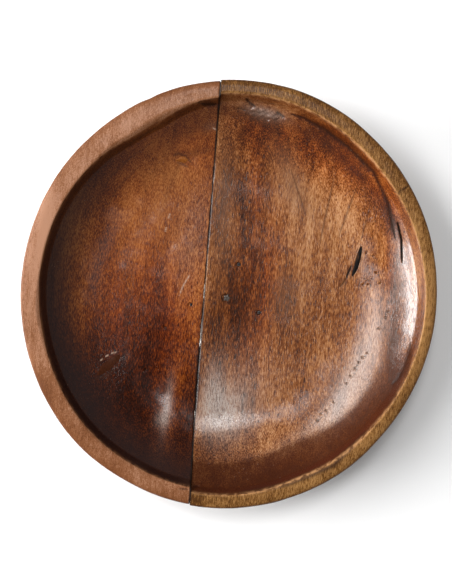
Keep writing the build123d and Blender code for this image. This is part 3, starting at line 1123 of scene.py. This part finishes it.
def closed_grid(name, top, bottom):
    """A closed mesh from a top and a bottom sheet of points, each rows x columns x 3, in mm."""
    bm = bmesh.new()
    sheets = [[[bm.verts.new(p) for p in row] for row in sheet] for sheet in (top, bottom)]
    rows, columns = len(top), len(top[0])
    for sheet in sheets:
        for i in range(rows - 1):
            for j in range(columns - 1):
                bm.faces.new((sheet[i][j], sheet[i][j + 1], sheet[i + 1][j + 1], sheet[i + 1][j]))
    loop = [(0, j) for j in range(columns)] + [(i, columns - 1) for i in range(1, rows)]
    loop += [(rows - 1, j) for j in range(columns - 2, -1, -1)] + [(i, 0) for i in range(rows - 2, 0, -1)]
    for a, b in zip(loop, loop[1:] + loop[:1]):
        corners = [(0, a), (0, b), (1, b), (1, a)]
        bm.faces.new([sheets[k][i][j] for k, (i, j) in corners])
    bmesh.ops.recalc_face_normals(bm, faces=bm.faces[:])
    return make_object(name, bm, 50)


def along_path(path, count):
    """Evenly spaced points along a path, and the direction to its left at each."""
    knots = np.array(path, float)
    steps = np.linalg.norm(np.diff(knots, axis=0), axis=1)
    at = np.concatenate([[0.0], np.cumsum(steps)])
    where = np.linspace(0, at[-1], count)
    points = np.column_stack([np.interp(where, at, knots[:, k]) for k in (0, 1)])
    ahead = np.gradient(points, axis=0)
    ahead /= np.linalg.norm(ahead, axis=1)[:, None]
    return points, np.column_stack([-ahead[:, 1], ahead[:, 0]])


def strip(name, path, half_widths, crown, rows=60, across=9, inlay=False, depth=0.7, rough=0.0, seed=1):
    """A long piece on the surface: a mound with a crown, or an inlay that fills a pocket flush."""
    rng = np.random.default_rng(seed)
    points, left = along_path(path, rows)
    widths = np.interp(np.linspace(0, 1, rows), np.linspace(0, 1, len(half_widths)), half_widths)
    top, bottom = [], []
    for i in range(rows):
        outer = [points[i] + left[i] * side * (widths[i] + 0.6) for side in (-1, 1)]
        edge_heights = [height_at(*p) for p in outer]
        top_row, bottom_row = [], []
        for j in range(across):
            s = 2 * j / (across - 1) - 1
            place = points[i] + left[i] * s * widths[i]
            if inlay:
                level = edge_heights[0] + (edge_heights[1] - edge_heights[0]) * (s + 1) / 2
            else:
                level = height_at(*place)
            end = min(1.0, 6.0 * i / rows, 6.0 * (rows - 1 - i) / rows)
            rise = crown * (1 - s * s) ** 0.7 * math.sqrt(max(end, 0.0)) - 0.05
            rise += rough * rng.uniform(-1, 1) * (1 - abs(s))
            top_row.append((*place, level + rise))
            bottom_row.append((*place, level + min(rise, 0.0) - depth))
        top.append(top_row)
        bottom.append(bottom_row)
    return closed_grid(name, top, bottom)


def plug(name, node, ragged, seed, sunk=0.25):
    """A filled hole: a rough-topped disc with an uneven edge, a little below the wood."""
    rng = np.random.default_rng(seed)
    box = node_box(node)
    x, y = middle(box)[:2]
    radius = (box[1][0] - box[0][0]) / 2 + 0.1
    beside = radius + 0.7
    turns = np.linspace(0, 2 * math.pi, 12, endpoint=False)
    heights = [height_at(x + beside * math.cos(a), y + beside * math.sin(a)) for a in turns]
    level = float(np.mean(heights)) - sunk
    bm = bmesh.new()
    count, rings = 40, 9
    edge = 1 - ragged * np.abs(np.sin(np.linspace(0, 5 * math.pi, count, endpoint=False) + rng.uniform(0, 3)))
    centre = bm.verts.new((x, y, level + 0.1))
    previous = None
    for k in range(1, rings + 1):
        share = k / rings
        ring = []
        for i in range(count):
            angle = 2 * math.pi * i / count
            r = radius * share * (1 + (edge[i] - 1) * share)
            lump = 0.16 * (1 - share) + 0.13 * rng.uniform(-1, 1) - 0.35 * share ** 4
            ring.append(bm.verts.new((x + r * math.cos(angle), y + r * math.sin(angle), level + lump)))
        join_ring(bm, previous, ring, centre)
        previous = ring
    low = [bm.verts.new((v.co.x, v.co.y, level - 0.62)) for v in previous]
    join_ring(bm, previous, low, None)
    bm.faces.new(low)
    bmesh.ops.recalc_face_normals(bm, faces=bm.faces[:])
    return make_object(name, bm, 40)


def join_ring(bm, inner, outer, centre):
    """Joins two rings of vertices, or a centre and its first ring."""
    count = len(outer)
    for i in range(count):
        j = (i + 1) % count
        if inner is None:
            bm.faces.new((centre, outer[i], outer[j]))
        else:
            bm.faces.new((inner[i], outer[i], outer[j], inner[j]))


def glue_film():
    """The thin film between the halves, just below their edges."""
    bm = bmesh.new()
    made = {}
    keys = {}

    def vertex(y_z, layer, x):
        if (y_z, layer) not in made:
            vert = bm.verts.new((x + layer * SEAM_GAP, *y_z))
            made[y_z, layer] = vert
            keys[vert] = (y_z, layer)
        return made[y_z, layer]

    for triangle in left_film:
        for layer in (0, 1):
            corners = [vertex((round(y, 4), round(z, 4)), layer, x) for x, y, z in triangle]
            if len(set(corners)) == 3:
                bm.faces.new(corners)
    for edge in [e for e in bm.edges if e.is_boundary]:
        (a_place, layer), (b_place, _) = [keys[v] for v in edge.verts]
        if layer == 0:
            bm.faces.new((*edge.verts, made[b_place, 1], made[a_place, 1]))
    bmesh.ops.recalc_face_normals(bm, faces=bm.faces[:])
    return make_object("dark_glue_film", bm, 40)


def grainy(t, colour, grain, roughness, coat, depth, specular=0.5):
    """Finishes a small piece's material; one grain drives its roughness and its bump."""
    t.fill(t.shader, {
        "Base Color": colour,
        "Roughness": t.level(grain, 0.3, 0.7, *roughness),
        "Specular IOR Level": specular,
        "Coat Weight": coat,
        "Coat Roughness": 0.15,
        "Normal": t.bump(grain, depth, 0.8),
    })
    return t.material


def filler_material():
    """Crumbly grey-brown filler, darker in its pits."""
    t = Tree("filler")
    grain = t.noise(t.place(), 900.0, 3.0, 0.65)
    value = t.sum((grain, 1.0), (t.math("SUBTRACT", t.cells(1100.0), 0.4), 0.35))
    colour = t.ramp(value, [
        (0, (0.006, 0.004, 0.004)), (0.48, (0.02, 0.012, 0.009)), (0.66, (0.11, 0.08, 0.06)),
        (1, (0.34, 0.27, 0.21)),
    ])
    return grainy(t, colour, grain, (0.35, 0.7), 0.1, 0.0003)


def dark_filler_material():
    """Nearly black filler in the screw holes."""
    t = Tree("dark_filler")
    grain = t.noise(t.place(), 1200.0, 3.0, 0.65)
    colour = t.ramp(grain, [
        (0, (0.004, 0.003, 0.003)), (0.5, (0.01, 0.006, 0.005)), (0.66, (0.05, 0.035, 0.028)),
        (1, (0.2, 0.15, 0.12)),
    ])
    return grainy(t, colour, grain, (0.35, 0.7), 0.1, 0.0003)


def knot_material(name, brown):
    """Dark, resinous wood with finer grain, from black to brown."""
    t = Tree(name)
    grain = t.noise(t.place((1.0, 0.15, 1.0), -12.0), 900.0, 3.0, 0.6, 0.5)
    colour = t.ramp(grain, [
        (0, (0.001, 0.001, 0.001)),
        (0.52, (0.003 + brown, 0.002 + brown * 0.3, 0.0015 + brown * 0.1)),
        (0.66, (0.03 + brown * 2, 0.013 + brown * 0.5, 0.006)),
        (1, (0.16, 0.06, 0.025)),
    ])
    return grainy(t, colour, grain, (0.3, 0.6), 0.02, 0.0001, 0.03)


def lacquer_material(name, dark, light, coat):
    """Thick lacquer over the wood."""
    t = Tree(name)
    grain = t.noise(t.place((1.0, 0.35, 1.0)), 1500.0, 2.0, 0.6)
    colour = t.ramp(grain, [(0.3, dark), (0.7, light)])
    return grainy(t, colour, grain, (0.3, 0.5), coat, 0.00005, 0.08)


def dried_glue_material():
    """Hard pale glue, yellowed and dirty in places."""
    t = Tree("dried_glue")
    grain = t.noise(t.place(), 800.0, 3.0, 0.6)
    dirt = t.noise(t.place((1.0, 0.5, 1.0)), 260.0, 2.0)
    stops = [(0.36, (0.05, 0.03, 0.02)), (0.48, (0.3, 0.24, 0.19)), (0.6, (0.66, 0.6, 0.54))]
    return grainy(t, t.ramp(t.sum((grain, 0.5), (dirt, 0.5)), stops), grain, (0.25, 0.55), 0.5, 0.0002)


def film_material():
    """Old brown glue, nearly black in the joint."""
    t = Tree("glue")
    grain = t.noise(t.place(), 500.0, 3.0, 0.6)
    colour = t.ramp(grain, [(0.35, (0.006, 0.0035, 0.003)), (0.7, (0.03, 0.015, 0.009))])
    return grainy(t, colour, grain, (0.4, 0.8), 0.1, 0.0002)


def settle(piece, node, material):
    """Gives a piece its material slot and body, and hides the CAD node that it stands for."""
    piece.data.materials.append(material)
    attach(piece, "root")
    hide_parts(node)


settle(glue_film(), "glue_line", film_material())

filler = filler_material()
dark_filler = dark_filler_material()
settle(plug("centre_hole_filler", "centre_plug", 0.42, 41, 0.3), "centre_plug", filler)
for number, place in enumerate(("upper", "right", "left")):
    piece = plug("screw_hole_filler_" + place, "screw_plug_" + place, 0.15, 50 + number, 0.5)
    settle(piece, "screw_plug_" + place, dark_filler)


def inlay(name, node, crown, rough, seed):
    """A strip that fills the pocket cut for an inlay."""
    path, width = INLAY_SHAPES[node]
    along = np.linspace(0, 1, 30)
    widths = width / 2 * np.sqrt(np.clip(4 * along * (1 - along), 0.0, 1.0)) + 0.12
    return strip(name, path, widths, crown, inlay=True, rough=rough, seed=seed)


knot_piece = inlay("black_knot", "knot", 0.10, 0.06, 61)
settle(knot_piece, "knot", knot_material("knot_wood", 0.0))
streak_piece = inlay("knot_side_streak", "knot_streak", 0.05, 0.03, 62)
settle(streak_piece, "knot_streak", knot_material("streak_wood", 0.012))
crack_piece = inlay("crack_filler", "wall_crack_fill", 0.02, 0.04, 63)
settle(crack_piece, "wall_crack_fill", knot_material("crack_fill", 0.0))

run_low, run_high = node_box("lacquer_run")
run_path = [run_low[:2] + 2.0, run_high[:2] - 2.0]
run_widths = [0.8, 2.0, 2.9, 3.3, 3.0, 2.7, 2.6, 1.4]
run_piece = strip("long_lacquer_run", run_path, run_widths, 0.34, depth=0.4, across=13, seed=64)
run_lacquer = lacquer_material("lacquer", (0.030, 0.007, 0.0018), (0.062, 0.015, 0.0035), 0.06)
settle(run_piece, "lacquer_run", run_lacquer)

(drip_left, drip_down, _), (drip_right, drip_up, _) = node_box("lacquer_drip")
drip_path = [
    (drip_left + 0.8, drip_up - 3.4), (drip_left + 5.0, drip_up - 2.6), (drip_right - 3.0, drip_down + 2.2),
]
drip_widths = [0.3, 0.7, 1.3, 1.8, 2.1, 2.2, 1.9, 1.0]
drip_piece = strip("lacquer_drop", drip_path, drip_widths, 0.55, depth=0.4, across=13, seed=65)
drip_lacquer = lacquer_material("lacquer_orange", (0.20, 0.050, 0.005), (0.36, 0.115, 0.014), 0.5)
settle(drip_piece, "lacquer_drip", drip_lacquer)

dried_glue = dried_glue_material()


def glue_bead(node, name, seed):
    """An uneven thread of glue that squeezed out of the seam."""
    rng = np.random.default_rng(seed)
    low, high = node_box(node)
    count = 40
    ys = np.linspace(high[1] - 0.3, low[1] + 0.3, count)
    on_seam = np.column_stack([np.full(count, SEAM_X), ys, np.full(count, FLOOR)])
    xs = SEAM_X + seam_shift(on_seam) + 0.1 * np.sin(ys * 1.7)
    widths = 0.26 + 0.14 * rng.uniform(-1, 1, 12)
    widths[0] = widths[-1] = 0.08
    halves = np.interp(np.linspace(0, 1, count), np.linspace(0, 1, 12), widths)
    top, bottom = [], []
    for x, y, half in zip(xs, ys, halves):
        level = min(height_at(x - 0.9, y), height_at(x + 0.9, y))
        row = [(x + s * half * 1.3, y, level - 0.22 + 0.34 * (1 - s * s)) for s in np.linspace(-1, 1, 7)]
        top.append(row)
        bottom.append([(p[0], p[1], level - 0.5) for p in row])
    settle(closed_grid(name, top, bottom), node, dried_glue)


for number, node in enumerate(BEAD_NODES):
    glue_bead(node, "squeezed_" + node, 71 + number)


# ---- Camera, floor and lights

# What the picture's height spans at the rim, the camera's height above it, how far the seam leans
# in the picture, and how far right and up the bowl lies from the middle
VIEW_HEIGHT = 405.3
CAMERA_HEIGHT = 900.0
LEAN_OF_SEAM = 4.2
BOWL_OFF_CENTRE = (1.53, -1.39)
# Half the floor's side in metres, and the strength of the even light all round
FLOOR_HALF = 3.0
DAYLIGHT = 0.26


def in_view(right, up):
    """A direction right and up in the picture, as x and y in the row's frame."""
    turn = math.radians(LEAN_OF_SEAM)
    return right * math.cos(turn) - up * math.sin(turn), right * math.sin(turn) + up * math.cos(turn)


def add_camera():
    data = bpy.data.cameras.new("camera")
    data.sensor_fit = "VERTICAL"
    data.sensor_height = 36.0
    data.lens = CAMERA_HEIGHT * data.sensor_height / VIEW_HEIGHT
    camera = link("camera", data)
    x, y = in_view(-BOWL_OFF_CENTRE[0], -BOWL_OFF_CENTRE[1])
    camera.location = (x * MM, y * MM, (HEIGHT + CAMERA_HEIGHT) * MM)
    camera.rotation_euler = (0.0, 0.0, math.radians(LEAN_OF_SEAM))
    bpy.context.scene.camera = camera


def add_softbox(name, azimuth, elevation, distance, size, radiance, roll=0.0):
    """A soft rectangular lamp at an azimuth in the picture, facing the bowl and rolled about its axis."""
    data = bpy.data.lights.new(name, "AREA")
    data.shape = "RECTANGLE"
    data.size, data.size_y = size
    data.energy = radiance * size[0] * size[1] * math.pi
    level = math.cos(math.radians(elevation))
    x, y = in_view(level * math.cos(math.radians(azimuth)), level * math.sin(math.radians(azimuth)))
    direction = Vector((x, y, math.sin(math.radians(elevation))))
    lamp = link(name, data)
    lamp.location = direction * distance
    facing = direction.to_track_quat("Z", "Y") @ Quaternion((0.0, 0.0, 1.0), math.radians(roll))
    lamp.rotation_euler = facing.to_euler()


def add_floor():
    mesh = bpy.data.meshes.new("floor")
    corners = [(x * FLOOR_HALF, y * FLOOR_HALF, 0) for x, y in ((-1, -1), (1, -1), (1, 1), (-1, 1))]
    mesh.from_pydata(corners, [], [(0, 1, 2, 3)])
    floor = link("floor", mesh)
    material = bpy.data.materials.new("pale_floor")
    material.use_nodes = True
    shader = material.node_tree.nodes["Principled BSDF"]
    shader.inputs["Base Color"].default_value = (0.92, 0.92, 0.92, 1.0)
    shader.inputs["Roughness"].default_value = 0.9
    shader.inputs["Specular IOR Level"].default_value = 0.1
    mesh.materials.append(material)


def add_daylight():
    world = bpy.data.worlds.new("studio")
    world.use_nodes = True
    background = world.node_tree.nodes["Background"]
    background.inputs["Color"].default_value = (1.0, 1.0, 1.0, 1.0)
    background.inputs["Strength"].default_value = DAYLIGHT
    bpy.context.scene.world = world


add_camera()
add_floor()
add_daylight()
add_softbox("key", 155, 51, 1.9, (1.6, 0.66), 9.0, 38.0)
add_softbox("window", 180, 12, 1.6, (0.95, 0.55), 30.0)
add_softbox("top", 92, 74, 2.2, (0.42, 0.5), 20.0)
add_softbox("fill", -20, 62, 2.4, (0.9, 0.7), 1.0)
bpy.context.scene.view_settings.view_transform = "Standard"
